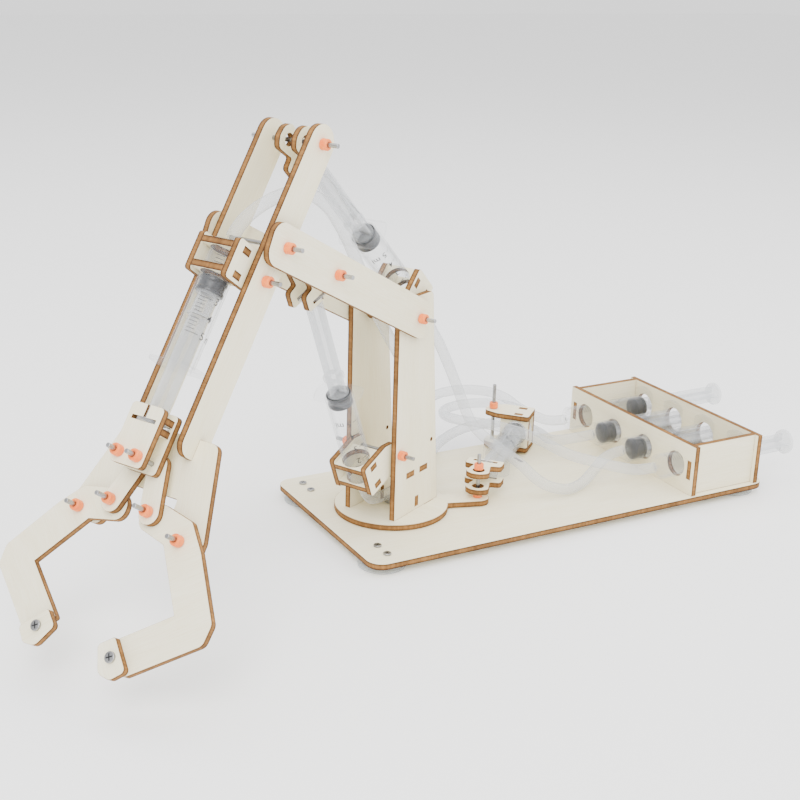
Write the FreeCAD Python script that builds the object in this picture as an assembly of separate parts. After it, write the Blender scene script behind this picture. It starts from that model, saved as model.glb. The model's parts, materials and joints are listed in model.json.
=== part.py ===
import FreeCAD, Part
import math
import os

# Desk-top hydraulic robot arm: laser-cut plywood plates, pinned with steel rods and moved by small syringes.
# Millimetres, +Z up. Work frame: origin on the floor under the turntable's axis, +X along the board.
# The last step moves the origin to the bottom centre of the object's box.

Vector = FreeCAD.Vector

# ---- sheet, rods and clearances ----
PLY = 3.0
ROD_R = 1.0
RUN_GAP = 0.08
SIDE_GAP = 0.3
COLLAR_R = 2.5
COLLAR_LENGTH = 3.5
ROD_TIP = 5.0

BOLT_R = 2.0
SCREW_R = 1.2
TAB_HALF = 6.0

# ---- board and feet ----
FOOT_HEIGHT = 4.0
FOOT_R = 12.0
BOARD_X0 = -40.0
BOARD_LENGTH = 246.0
BOARD_WIDTH = 115.0
BOARD_CORNER = 8.0
BOARD_TOP = FOOT_HEIGHT + PLY
FOOT_X = (-28.0, 194.0)
FOOT_Y = (-43.0, 43.0)
FOOT_SCREW_OFFSET = 5.0

# ---- turntable and column ----
YAW = 27.0
DISC_R = 29.5
DISC_LIFT = 0.3
COLUMN_OUT = 15.2
COLUMN_FRONT = -19.5
COLUMN_REAR = 20.0
COLUMN_TOP_REAR = 9.5
COLUMN_HEIGHT = 117.0
LEVER_PIN = (44.3, -13.5)
LEVER_HALF_WIDTH = 6.0
COLUMN_TAB_X = (-12.0, 12.0)
WEB_IN = 6.0
# Windows of the column's plates for the two braces' tabs: x0, z0, x1, z1.
BRACE_WINDOWS = [(-9.5, 22.9, -2.5, 25.9), (2.5, 22.9, 9.5, 25.9), (-0.9, 5.0, 2.1, 10.5)]

# ---- arm pivots, in the arm's own plane, heights above the board's top ----
SHOULDER = (-7.0, 107.0)
LIFT_PIVOT = (-16.0, 38.0)
BOOM_ANGLE = 27.0
BOOM_REACH = 115.0
BOOM_LIFT_REACH = 75.5
BOOM_HALF = 9.3
FOREARM_ANGLE = 53.8
FOREARM_TOP_REACH = 48.0
FOREARM_LOW_REACH = 95.0
FOREARM_HALF = 8.25
FOREARM_OUT = 14.6
GRIP_PIVOT_REACH = 16.0

# ---- syringe ----
BARREL_R = 6.9
BORE_R = 6.1
BARREL_LENGTH = 56.0
BARREL_END = 1.6
# The rest of each nozzle is inside its hose.
NOSE_LENGTH = 3.0
NOSE_R = 2.0
NOSE_BORE_R = 0.9
FLANGE_R = 12.0
FLANGE_HALF_WIDTH = 7.6
FLANGE_T = 1.6
SEAL_LENGTH = 8.0
SEAL_R = 6.05
PLUNGER_LENGTH = 68.0
RIB_HALF = 5.2
RIB_T = 1.2
THUMB_R = 6.9
THUMB_T = 1.6
CLEVIS_REACH = 12.5
CLEVIS_EAR_IN = 3.0
# Room round a part in its slot.
SLOT_GAP = 0.1

# ---- syringe bracket ----
BRACKET_IN = 8.0
BRACKET_OFFSET = 15.0
BRACKET_EYE = 4.2
BRACKET_REAR = -7.4
BRACKET_FRONT = 9.9
# Past the syringe's axis, and the ends of the tabs from it.
BRACKET_EDGE = 7.6
BRACKET_TAB = (-1.3, 3.5)
KERF = 0.06
GRIP_OFFSET = 12.0
SHOULDER_AHEAD = 8.8
BRACKET_END_AHEAD = 6.5
BRACKET_END_BEHIND = -4.3

# Each cylinder's axis passes on this side of its pivot.
LIFT_SIDE = 1
ELBOW_SIDE = -1
STEER_SIDE = -1
# Eyes of the clevises: as wide as the linkage needs over its stroke.
LIFT_EYE_R = 1.8
ELBOW_EYE_R = 2.9
STEER_EYE_R = 3.0
LINK_HOLE_R = 1.9

# ---- control box ----
BOX_X0 = 153.6
BOX_DEPTH = 47.0
BOX_HALF = 56.0
BOX_HEIGHT = 28.0
BOX_END_Y = 52.0
REAR_HOLE_R = 7.3
CONTROL_PITCH = 27.5
CONTROL_Z = 14.0
CONTROL_SHOULDER_X = 141.3
CONTROL_OUT = {"grip": 44.0, "lift": 0.0, "elbow": 0.0, "turn": 24.0}

BOX_WALL_X = (BOX_X0, BOX_X0 + BOX_DEPTH - PLY)
BOX_TAB_Y = (-27.5, 27.5)
CONTROL_Y = {"grip": 1.5 * CONTROL_PITCH, "lift": 0.5 * CONTROL_PITCH,
             "elbow": -0.5 * CONTROL_PITCH, "turn": -1.5 * CONTROL_PITCH}

# ---- steering ----
STEER_ROD = (95.7, 53.0)
STEER_Z = 12.5
STEER_ROD_TOP = 38.0

# ---- gripper, along the forearm (reach), across it (side) and out from it (rise) ----
GRIP_PLATE_RISE = -4.0
PLATE_TOP_REACH = 86.0
PLATE_NOTCH_REACH = 111.3
PLATE_LOW_REACH = 131.0
JAW_PIVOT = (126.8, 27.5)
LINK_PIN = (120.2, 10.2)
PUSH_PIN = (102.2, 5.0)
GRIP_OUT = 13.0
JAW_RISE = -0.7
LINK_RISE = 2.6
PUSH_BACK_RISE = 5.9
PUSH_FRONT_RISE = 15.2

# ---- hoses ----
HOSE_R = 2.9
HOSE_LEAD = 10.0
# Ways between the two nozzles, from the control box on: points of the work frame.
TURN_WAY = [(119, -36, 22.5), (110, -28, 24), (98, -18, 26.5), (92, 4, 30), (84, 20, 31), (77, 36, 30),
            (72, 52, 27), (72, 68, 24), (79, 83, 21.5), (93, 92, 20), (109, 92, 19.5), (122, 83, 19.5), (127.5, 69.5, 19.5)]
GRIP_WAY = [(119, 46.6, 24.8), (113.8, 55.8, 27.8), (113.8, 67, 30), (107.5, 78.5, 31.5), (95, 86, 32),
            (78, 86, 32), (62, 76, 32), (50, 59, 34), (38, 38, 41), (27, 21, 53), (15, 9, 70)]
LIFT_WAY = [(119.5, 19, 18.5), (117.5, 28.5, 16.4), (121.5, 39.5, 15.2), (123.5, 50, 13.5), (124, 61, 13),
            (116, 71.5, 12.5), (103, 76, 12), (88, 74, 12), (72, 66, 12), (57, 54, 12), (44, 38, 13), (32, 22, 15)]
ELBOW_WAY = [(117, -17, 14), (104, -24, 10.5), (90, -28, 11), (78, -22, 15), (72, -10, 24), (64, 4, 30.5),
             (58, 18, 38)]
# The rest of each way runs in the arm's frame: x in the arm's plane, y across it, z above the board.
GRIP_ARM_WAY = [(3, 0, 83), (-13, -1, 101), (-29, -4, 119), (-43, -7, 138), (-55, -8, 155), (-68, -7, 171),
                (-85, -3, 179)]
LIFT_ARM_WAY = [(13, 0, 9.8), (1, 0, 9.1), (-11, 0, 9.4)]
ELBOW_ARM_WAY = [(60, -2, 48), (50, 0, 67), (37, 0, 85)]

nodes = {}


def direction(degrees):
    return math.cos(math.radians(degrees)), math.sin(math.radians(degrees))


def frame(origin, x_axis, y_axis):
    x_dir = Vector(*x_axis)
    y_dir = Vector(*y_axis)
    return FreeCAD.Placement(Vector(*origin), FreeCAD.Rotation(x_dir, y_dir, x_dir.cross(y_dir), "XYZ"))


def put(shape, *frames):
    moved = shape.copy()
    for placement in reversed(frames):
        moved.Placement = placement.multiply(moved.Placement)
    return moved


def cylinder(radius, length, start=(0, 0, 0), along=(0, 0, 1)):
    return Part.makeCylinder(radius, length, Vector(*start), Vector(*along))


def box(low, high):
    size = [b - a for a, b in zip(low, high)]
    return Part.makeBox(size[0], size[1], size[2], Vector(*low))


def outline(corners):
    """A closed face in the XY plane. Each corner is (x, y) or (x, y, radius)."""
    count = len(corners)
    starts, ends, arcs = [], [], []
    for index, corner in enumerate(corners):
        here = Vector(corner[0], corner[1], 0)
        radius = corner[2] if len(corner) > 2 else 0
        before = Vector(*corners[index - 1][:2], 0)
        after = Vector(*corners[(index + 1) % count][:2], 0)
        if not radius:
            starts.append(here)
            ends.append(here)
            arcs.append(None)
            continue
        back = (before - here).normalize()
        ahead = (after - here).normalize()
        half = back.getAngle(ahead) / 2
        cut = radius / math.tan(half)
        middle = here + (back + ahead).normalize() * (radius / math.sin(half) - radius)
        starts.append(here + back * cut)
        ends.append(here + ahead * cut)
        arcs.append(middle)
    edges = []
    for index in range(count):
        if arcs[index]:
            edges.append(Part.Arc(starts[index], arcs[index], ends[index]).toShape())
        following = starts[(index + 1) % count]
        if (following - ends[index]).Length > 1e-6:
            edges.append(Part.LineSegment(ends[index], following).toShape())
    return Part.Face(Part.Wire(edges))


def sheet(corners, thickness=PLY, holes=(), windows=()):
    """A plate from z=0 up: holes are (x, y, radius), windows are (x0, y0, x1, y1)."""
    plate = outline(corners).extrude(Vector(0, 0, thickness))
    for x, y, radius in holes:
        plate = plate.cut(cylinder(radius, thickness + 2, (x, y, -1)))
    for x0, y0, x1, y1 in windows:
        plate = plate.cut(box((x0, y0, -1), (x1, y1, thickness + 1)))
    return plate


def revolve(profile):
    """A solid of revolution about Z from (radius, height) points."""
    points = [Vector(r, 0, h) for r, h in profile]
    wire = Part.makePolygon(points + [points[0]])
    return Part.Face(wire).revolve(Vector(0, 0, 0), Vector(0, 0, 1), 360)


# ---- frames ----
YAW_COS, YAW_SIN = direction(YAW)
ARM = frame((0, 0, BOARD_TOP), (YAW_COS, YAW_SIN, 0), (-YAW_SIN, YAW_COS, 0))


def arm_sheet_frame(side):
    """Drawing X along the arm plane, drawing Y up; the sheet lies from side to side + PLY."""
    return frame((0, side + PLY, 0), (1, 0, 0), (0, 0, 1))


BOOM_DIR = (-math.cos(math.radians(BOOM_ANGLE)), math.sin(math.radians(BOOM_ANGLE)))
ELBOW = tuple(SHOULDER[i] + BOOM_REACH * BOOM_DIR[i] for i in range(2))
BOOM_LIFT = tuple(SHOULDER[i] + BOOM_LIFT_REACH * BOOM_DIR[i] for i in range(2))
FORE_DIR = (-math.cos(math.radians(FOREARM_ANGLE)), -math.sin(math.radians(FOREARM_ANGLE)))
FORE_OUT = (FORE_DIR[1], -FORE_DIR[0])
FOREARM_TOP = tuple(ELBOW[i] - FOREARM_TOP_REACH * FORE_DIR[i] for i in range(2))
# Forearm frame: origin at the elbow, local X across (the pin direction), Y along the forearm, Z out of it.
GRIP = frame((ELBOW[0], 0, ELBOW[1]), (0, 1, 0), (FORE_DIR[0], 0, FORE_DIR[1]))


# ---- rods and collars ----
def rod(start, end, *frames):
    span = Vector(*end) - Vector(*start)
    return put(cylinder(ROD_R, span.Length, start, tuple(span)), *frames)


def collar(start, along, *frames, length=COLLAR_LENGTH):
    ring = cylinder(COLLAR_R, length, start, along)
    return put(ring.cut(cylinder(ROD_R, length, start, along)), *frames)


def cross_rod(point, half):
    """A rod across the arm at a pivot, with its tips past the collars."""
    reach = half + COLLAR_LENGTH + ROD_TIP
    return rod((point[0], -reach, point[1]), (point[0], reach, point[1]), ARM)


def cross_collars(point, half):
    near = collar((point[0], -half, point[1]), (0, -1, 0), ARM)
    far = collar((point[0], half, point[1]), (0, 1, 0), ARM)
    return [near, far]


# ---- syringe pieces: axis on Z, the barrel's shoulder at z=0 and its nose upwards ----
def barrel():
    body = cylinder(BARREL_R, BARREL_LENGTH, (0, 0, -BARREL_LENGTH))
    wings = cylinder(FLANGE_R, FLANGE_T, (0, 0, -BARREL_LENGTH))
    wings = wings.common(box((-FLANGE_R, -FLANGE_HALF_WIDTH, -BARREL_LENGTH), (FLANGE_R, FLANGE_HALF_WIDTH, 0)))
    nose = Part.makeCone(NOSE_R + 0.4, NOSE_R, NOSE_LENGTH)
    solid = body.fuse([wings, nose]).removeSplitter()
    solid = solid.cut(cylinder(BORE_R, BARREL_LENGTH - BARREL_END + 1, (0, 0, -BARREL_LENGTH - 1)))
    return solid.cut(cylinder(NOSE_BORE_R, NOSE_LENGTH + BARREL_END + 2, (0, 0, -BARREL_END - 1)))


def seal(out):
    front = -BARREL_END - 0.1 - out
    rear = front - SEAL_LENGTH
    waist = SEAL_R - 0.5
    return revolve([
        (0, front), (4.0, front - 0.8), (SEAL_R - 0.2, front - 1.6), (SEAL_R, front - 1.8), (SEAL_R, front - 3.2),
        (waist, front - 3.6), (waist, rear + 1.8), (SEAL_R, rear + 1.4), (SEAL_R, rear), (0, rear),
    ])


def plunger(out):
    rear = -PLUNGER_LENGTH - out
    front = -BARREL_END - 0.1 - SEAL_LENGTH - out
    length = front - rear
    ribs = box((-RIB_HALF, -RIB_T / 2, rear), (RIB_HALF, RIB_T / 2, front))
    cross = box((-RIB_T / 2, -RIB_HALF, rear), (RIB_T / 2, RIB_HALF, front))
    head = cylinder(RIB_HALF, 1.2, (0, 0, front - 1.2))
    guide = cylinder(RIB_HALF, 1.0, (0, 0, rear + length * 0.82))
    thumb = cylinder(THUMB_R, THUMB_T, (0, 0, rear))
    return ribs.fuse([cross, head, guide, thumb]).removeSplitter()


# ---- bracket: drawing X ahead along the syringe, drawing Y from the pivot to the syringe's axis ----
def bracket_side(offset, hole_r):
    eye = BRACKET_EYE
    round_eye = eye - 0.2
    edge = offset + BRACKET_EDGE
    low, high = [offset + tab for tab in BRACKET_TAB]
    half_slot = PLY / 2 + KERF
    return sheet(
        [(-eye, -eye, round_eye), (eye, -eye, round_eye), (BRACKET_FRONT, 5.0, 1.5), (BRACKET_FRONT, edge, 1.5),
         (BRACKET_REAR, edge, 1.5), (BRACKET_REAR, 4.0, 1.5)],
        holes=[(0, 0, hole_r)],
        windows=[
            (x - half_slot, low - KERF, x + half_slot, high + KERF)
            for x in (BRACKET_END_AHEAD, BRACKET_END_BEHIND)
        ],
    )


def bracket(offset, hole_r):
    """Two side plates and two holed end plates, in a frame with X ahead, Y to the axis, Z along the pin."""
    side = bracket_side(offset, hole_r)
    pieces = []
    for inside in (BRACKET_IN, -BRACKET_IN - PLY):
        pieces.append(side.translated(Vector(0, 0, inside)))
    outside = BRACKET_IN + PLY
    low, high = [offset + tab for tab in BRACKET_TAB]
    for middle in (BRACKET_END_AHEAD, BRACKET_END_BEHIND):
        rear, front = middle - PLY / 2, middle + PLY / 2
        end = box((rear, offset - 9.0, -BRACKET_IN), (front, offset + BRACKET_EDGE, BRACKET_IN))
        end = end.fuse(box((rear, low, -outside), (front, high, outside))).removeSplitter()
        pieces.append(end.cut(cylinder(BARREL_R, PLY + 2, (rear - 1, offset, 0), (1, 0, 0))))
    return Part.makeCompound(pieces)


def clevis(hole_r):
    """Two ears whose slots hold the plunger's thumb disc. X ahead, Z along the pin, pivot at 0."""
    slot_x = CLEVIS_REACH
    # The slot is as wide as the disc at the ear's inner face.
    slot_half = math.sqrt(THUMB_R ** 2 - CLEVIS_EAR_IN ** 2) + SLOT_GAP
    rib_half = RIB_T / 2 + SLOT_GAP
    half = [(-6.0, -2.5, 5.0), (-3.0, -6.5, 3.0), (4.0, -5.2, 1.0), (7.0, -4.5, 1.0), (8.0, -10.0, 2.0),
            (16.0, -10.0, 1.5)]
    ear = sheet(
        half + [(x, -y, radius) for x, y, radius in reversed(half)],
        holes=[(0, 0, hole_r)],
        windows=[
            (slot_x, -slot_half, slot_x + THUMB_T, slot_half),
            (slot_x, -rib_half, 17.0, rib_half),
        ],
    )
    upper = ear.translated(Vector(0, 0, CLEVIS_EAR_IN))
    return Part.makeCompound([upper, ear.translated(Vector(0, 0, -CLEVIS_EAR_IN - PLY))])


tips = {}


def keep_tip(name, base, syringe):
    """The end of a nozzle, and a point straight ahead of it, where its hose starts."""
    place = base.multiply(syringe)
    tips[name] = [place.multVec(Vector(0, 0, NOSE_LENGTH + step)) for step in (0, HOSE_LEAD)]


# ---- one hydraulic cylinder: its pivot, the pin it pushes, and the offset of its axis from the pivot ----
def cylinder_frames(pivot, pin, across, offset, base):
    """Frames of the bracket, the syringe and the clevis, and how far the plunger is out.

    pivot and pin are points of the plane that the cylinder swings in; across is the pin direction.
    """
    pivot, pin, across = Vector(*pivot), Vector(*pin), Vector(*across)
    span = pivot - pin
    length = math.sqrt(span.Length ** 2 - offset ** 2)
    side = across.cross(span).normalize()
    ahead = (span * length + side * offset * span.Length).normalize()
    foot = pin + ahead * length
    to_axis = (foot - pivot).normalize()
    out = length + SHOULDER_AHEAD - CLEVIS_REACH - PLUNGER_LENGTH
    bracket_frame = frame(pivot, ahead, to_axis)
    syringe_frame = frame(foot + ahead * SHOULDER_AHEAD, across, ahead.cross(across))
    clevis_frame = frame(pin, ahead, across.cross(ahead))
    return [base, bracket_frame], [base, syringe_frame], [base, clevis_frame], out


def hydraulic(name, pivot, pin, across, offset, base, hole_r, clevis_hole_r):
    bracket_in, syringe_in, clevis_in, out = cylinder_frames(pivot, pin, across, offset, base)
    nodes[name + "_bracket"] = put(bracket(BRACKET_OFFSET, hole_r), *bracket_in)
    nodes[name + "_barrel"] = put(barrel(), *syringe_in)
    nodes[name + "_plunger"] = put(plunger(out), *syringe_in)
    nodes[name + "_seal"] = put(seal(out), *syringe_in)
    nodes[name + "_clevis"] = put(clevis(clevis_hole_r), *clevis_in)
    keep_tip(name, *syringe_in)
    print(name, "plunger out", round(out, 2))


# ---- board, feet, control box ----
def make_board():
    x1 = BOARD_X0 + BOARD_LENGTH
    half = BOARD_WIDTH / 2
    corners = [(x, y, BOARD_CORNER) for x, y in ((BOARD_X0, -half), (x1, -half), (x1, half), (BOARD_X0, half))]
    steps = (-FOOT_SCREW_OFFSET, FOOT_SCREW_OFFSET)
    holes = [(x, y + step, ROD_R) for x in FOOT_X for y in FOOT_Y for step in steps]
    holes += [(0, 0, BOLT_R), (STEER_ROD[0], STEER_ROD[1], ROD_R)]
    slots = [(97.0, 24.0, 99.0, 32.0)]
    slots += [(x, y - TAB_HALF, x + PLY, y + TAB_HALF) for x in BOX_WALL_X for y in BOX_TAB_Y]
    board = sheet(corners, holes=holes, windows=slots)
    nodes["base_board"] = put(board, frame((0, 0, FOOT_HEIGHT), (1, 0, 0), (0, 1, 0)))


def make_feet():
    cup = revolve([(0, 2.2), (FOOT_R - 2.0, 0.6), (FOOT_R - 1.0, 0), (FOOT_R, 0), (FOOT_R, 0.8),
                   (8.0, FOOT_HEIGHT), (0, FOOT_HEIGHT)])
    feet, screws = [], []
    for x in FOOT_X:
        for y in FOOT_Y:
            foot = cup.translated(Vector(x, y, 0))
            for step in (-FOOT_SCREW_OFFSET, FOOT_SCREW_OFFSET):
                shank = cylinder(ROD_R, 4.5, (x, y + step, BOARD_TOP - 4.5))
                foot = foot.cut(shank)
                screws.append(shank.fuse(cylinder(2.0, 1.0, (x, y + step, BOARD_TOP))).removeSplitter())
            feet.append(foot)
    nodes["suction_feet"] = Part.makeCompound(feet)
    bolt = cylinder(BOLT_R, 9.5, (0, 0, FOOT_HEIGHT - 2.8)).fuse(cylinder(3.6, 2.2, (0, 0, BOARD_TOP + 3.6)))
    nut = cylinder(3.4, 2.4, (0, 0, FOOT_HEIGHT - 2.4)).cut(cylinder(BOLT_R, 3, (0, 0, FOOT_HEIGHT - 3)))
    steer_rod = cylinder(ROD_R, STEER_ROD_TOP + PLY, (STEER_ROD[0], STEER_ROD[1], FOOT_HEIGHT))
    nodes["base_fasteners"] = Part.makeCompound(screws + [bolt.removeSplitter(), nut, steer_rod])


def make_control_box():
    axis_z = BOARD_TOP + CONTROL_Z
    tab_z = (BOARD_TOP + 8.5, BOARD_TOP + 19.0)
    walls = (("box_front_panel", BOX_WALL_X[0], BARREL_R), ("box_rear_panel", BOX_WALL_X[1], REAR_HOLE_R))
    for name, x, hole_r in walls:
        panel = box((x, -BOX_HALF, BOARD_TOP), (x + PLY, BOX_HALF, BOARD_TOP + BOX_HEIGHT))
        for y in BOX_TAB_Y:
            panel = panel.fuse(box((x, y - TAB_HALF, FOOT_HEIGHT), (x + PLY, y + TAB_HALF, BOARD_TOP)))
        for y in (-BOX_END_Y, BOX_END_Y):
            panel = panel.cut(box((x, y - PLY / 2, tab_z[0]), (x + PLY, y + PLY / 2, tab_z[1])))
        for y in CONTROL_Y.values():
            panel = panel.cut(cylinder(hole_r, PLY + 2, (x - 1, y, axis_z), (1, 0, 0)))
        nodes[name] = panel.removeSplitter()
    ends = []
    for y in (-BOX_END_Y, BOX_END_Y):
        low = (BOX_WALL_X[0] + PLY, y - PLY / 2, BOARD_TOP)
        end = box(low, (BOX_WALL_X[1], y + PLY / 2, BOARD_TOP + BOX_HEIGHT))
        tab = box((BOX_WALL_X[0], y - PLY / 2, tab_z[0]), (BOX_WALL_X[1] + PLY, y + PLY / 2, tab_z[1]))
        ends.append(end.fuse(tab).removeSplitter())
    nodes["box_end_panels"] = Part.makeCompound(ends)
    barrels = []
    for name, y in CONTROL_Y.items():
        # Nose towards the arm, finger wings upright.
        place = frame((CONTROL_SHOULDER_X, y, axis_z), (0, 0, 1), (0, 1, 0))
        barrels.append(put(barrel(), place))
        keep_tip("control_" + name, FreeCAD.Placement(), place)
        out = CONTROL_OUT[name]
        nodes["control_" + name + "_plunger"] = put(Part.makeCompound([plunger(out), seal(out)]), place)
    nodes["control_barrels"] = Part.makeCompound(barrels)


# ---- turntable and column ----
def make_turntable():
    lever_reach = math.hypot(*LEVER_PIN)
    disc = cylinder(DISC_R, PLY)
    lever = sheet(
        [(0, -LEVER_HALF_WIDTH), (lever_reach + LEVER_HALF_WIDTH, -LEVER_HALF_WIDTH, LEVER_HALF_WIDTH - 0.2),
         (lever_reach + LEVER_HALF_WIDTH, LEVER_HALF_WIDTH, LEVER_HALF_WIDTH - 0.2), (0, LEVER_HALF_WIDTH)],
    )
    lever_angle = math.degrees(math.atan2(LEVER_PIN[1], LEVER_PIN[0]))
    lever = put(lever, FreeCAD.Placement(Vector(), FreeCAD.Rotation(Vector(0, 0, 1), lever_angle)))
    disc = disc.fuse(lever).removeSplitter()
    disc = disc.cut(cylinder(BOLT_R + RUN_GAP, PLY)).cut(cylinder(ROD_R, PLY, (*LEVER_PIN, 0)))
    disc = disc.translated(Vector(0, 0, BOARD_TOP + DISC_LIFT))
    for low in (-COLUMN_OUT, COLUMN_OUT - PLY):
        for x in COLUMN_TAB_X:
            tab = box((x - 4, low, DISC_LIFT), (x + 4, low + PLY, DISC_LIFT + PLY))
            disc = disc.cut(put(tab, ARM))
    for low, high in ((-COLUMN_OUT + PLY, -WEB_IN), (WEB_IN, COLUMN_OUT - PLY)):
        web = box((BRACE_WINDOWS[2][0], low, DISC_LIFT), (BRACE_WINDOWS[2][2], high, DISC_LIFT + PLY))
        disc = disc.cut(put(web, ARM))
    nodes["turntable_disc"] = disc

    foot = DISC_LIFT + PLY
    corners = [(COLUMN_FRONT, foot), (COLUMN_REAR, foot), (COLUMN_TOP_REAR, COLUMN_HEIGHT, 3),
               (COLUMN_FRONT, COLUMN_HEIGHT, 3)]
    for name, low in (("column_near_plate", -COLUMN_OUT), ("column_far_plate", COLUMN_OUT - PLY)):
        plate = outline(corners)
        for x in COLUMN_TAB_X:
            plate = plate.fuse(outline([(x - 4, DISC_LIFT), (x + 4, DISC_LIFT), (x + 4, foot), (x - 4, foot)]))
        plate = plate.removeSplitter().extrude(Vector(0, 0, PLY))
        for x, z in (SHOULDER, LIFT_PIVOT, (12.6, 38.0)):
            plate = plate.cut(cylinder(ROD_R, PLY, (x, z, 0)))
        for x0, z0, x1, z1 in BRACE_WINDOWS:
            plate = plate.cut(box((x0, z0, 0), (x1, z1, PLY)))
        nodes[name] = put(plate, ARM, arm_sheet_frame(low))
    inner = COLUMN_OUT - PLY
    brace_low, brace_high = BRACE_WINDOWS[0][1], BRACE_WINDOWS[0][3]
    middle = box((-12, -inner, brace_low), (12, inner, brace_high))
    for x0, z0, x1, z1 in BRACE_WINDOWS[:2]:
        middle = middle.fuse(box((x0, -COLUMN_OUT, z0), (x1, COLUMN_OUT, z1)))
    braces = [middle.removeSplitter()]
    # Two low webs stand in the disc on either side of the turntable's bolt, with their tabs in the plates.
    x0, z0, x1, z1 = BRACE_WINDOWS[2]
    for side in (-1, 1):
        low, high = sorted((side * WEB_IN, side * inner))
        tab_low, tab_high = sorted((side * inner, side * COLUMN_OUT))
        web = box((x0, low, DISC_LIFT), (x1, high, z1))
        braces.append(web.fuse(box((x0, tab_low, z0), (x1, tab_high, z1))).removeSplitter())
    nodes["column_braces"] = put(Part.makeCompound(braces), ARM)

    boom_half = COLUMN_OUT + SIDE_GAP + PLY + SIDE_GAP
    pin_low = BOARD_TOP + DISC_LIFT
    lever_pin = cylinder(ROD_R, 27.0, (*LEVER_PIN, pin_low))
    nodes["turntable_rods"] = Part.makeCompound(
        [cross_rod(SHOULDER, boom_half), cross_rod(LIFT_PIVOT, COLUMN_OUT), lever_pin])
    rings = cross_collars(SHOULDER, boom_half) + cross_collars(LIFT_PIVOT, COLUMN_OUT)
    low_collar = STEER_Z - CLEVIS_EAR_IN - PLY - DISC_LIFT - PLY - SIDE_GAP
    rings.append(collar((*LEVER_PIN, pin_low + PLY), (0, 0, 1), length=low_collar))
    rings.append(collar((*LEVER_PIN, BOARD_TOP + STEER_Z + CLEVIS_EAR_IN + PLY + SIDE_GAP), (0, 0, 1)))
    nodes["turntable_collars"] = Part.makeCompound(rings)


# ---- boom ----
def bar_corners(length, half, tail, head, radius):
    front = length + head
    return [(-tail, -half, radius), (front, -half, radius), (front, half, radius), (-tail, half, radius)]


def make_boom():
    corners = bar_corners(BOOM_REACH, BOOM_HALF, 10.0, 10.5, 6.5)
    holes = [(0, 0, ROD_R + RUN_GAP), (BOOM_LIFT_REACH, 0, ROD_R), (BOOM_REACH, 0, ROD_R)]
    bar = sheet(corners, holes=holes)
    low_near = -COLUMN_OUT - SIDE_GAP - PLY
    low_far = COLUMN_OUT + SIDE_GAP
    for name, low in (("boom_near_bar", low_near), ("boom_far_bar", low_far)):
        place = frame(
            (SHOULDER[0], low, SHOULDER[1]), (BOOM_DIR[0], 0, BOOM_DIR[1]), (BOOM_DIR[1], 0, -BOOM_DIR[0]))
        nodes[name] = put(bar, ARM, place)
    half = COLUMN_OUT + SIDE_GAP + PLY
    nodes["boom_rods"] = Part.makeCompound([cross_rod(ELBOW, half), cross_rod(BOOM_LIFT, half)])
    nodes["boom_collars"] = Part.makeCompound(cross_collars(ELBOW, half) + cross_collars(BOOM_LIFT, half))


# ---- forearm ----
def forearm_point(reach, rise=0.0):
    return tuple(ELBOW[i] + reach * FORE_DIR[i] + rise * FORE_OUT[i] for i in range(2))


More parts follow.
